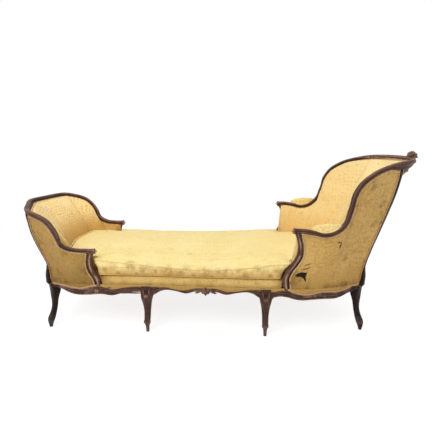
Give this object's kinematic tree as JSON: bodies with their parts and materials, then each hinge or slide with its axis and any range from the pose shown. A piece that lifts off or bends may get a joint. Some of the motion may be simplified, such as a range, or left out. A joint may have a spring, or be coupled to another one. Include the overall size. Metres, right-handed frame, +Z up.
{
  "type": "recamier",
  "caption": "Low day bed with a tall winged head end, a low rounded foot end, a long loose seat cushion and slim carved wooden rails on curved legs.",
  "frame": {"origin": "on the floor under the middle of the overall box", "axes": "+X along the length towards the tall head end, -Y is the long side seen in the picture, +Z up"},
  "size_m": [2.2365, 0.7632, 0.9536],
  "materials": {
    "walnut": "aged polish, semi-gloss",
    "beech": "bare, matte",
    "webbing": "coarse weave, matte",
    "damask": "silk, soft sheen",
    "damask_outside": "worn and faded silk, soft sheen"
  },
  "bodies": {
    "frame": {"mid_leg_foot_near": "walnut", "mid_leg_foot_far": "walnut", "mid_leg_head_near": "walnut", "mid_leg_head_far": "walnut", "corner_leg_foot_near": "walnut", "corner_leg_foot_far": "walnut", "corner_leg_head_near": "walnut", "corner_leg_head_far": "walnut", "seat_rail_centre_near": "walnut", "seat_rail_centre_far": "walnut", "seat_rail_foot_near": "walnut", "seat_rail_foot_far": "walnut", "seat_rail_head_near": "walnut", "seat_rail_head_far": "walnut", "end_rail_foot": "walnut", "end_rail_head": "walnut", "cross_brace_foot": "beech", "cross_brace_head": "beech", "corner_blocks_foot": "beech", "corner_blocks_head": "beech", "arm_support_foot_near": "walnut", "arm_support_foot_far": "walnut", "arm_support_head_near": "walnut", "arm_support_head_far": "walnut", "arm_rail_foot_near": "walnut", "arm_rail_foot_far": "walnut", "wing_rail_head_near": "walnut", "wing_rail_head_far": "walnut", "crest_rail_foot": "walnut", "crest_rail_head": "walnut", "crest_spray": "walnut", "rail_flower_near": "walnut", "rail_flower_far": "walnut", "tack_rail_foot_near": "beech", "tack_rail_foot_far": "beech", "tack_rail_foot_back": "beech", "tack_rail_head_near": "beech", "tack_rail_head_far": "beech", "tack_rail_head_back": "beech", "webbing_cross": "webbing", "webbing_long": "webbing", "seat_deck": "damask", "inside_arm_foot_near": "damask", "inside_arm_foot_far": "damask", "inside_back_foot": "damask", "inside_arm_head_near": "damask", "inside_arm_head_far": "damask", "inside_back_head": "damask", "outside_arm_foot_near": "damask_outside", "outside_arm_foot_far": "damask_outside", "outside_back_foot": "damask_outside", "outside_arm_head_near": "damask_outside", "outside_arm_head_far": "damask_outside", "outside_back_head": "damask_outside", "arm_pad_near": "damask", "arm_pad_far": "damask"},
    "cushion": {"cushion": "damask"}
  },
  "joints": [
    {"name": "cushion_lift", "type": "slide", "parent": "frame", "child": "cushion", "axis": [0, 0, 1], "range_m": [0, 0.25]}
  ]
}
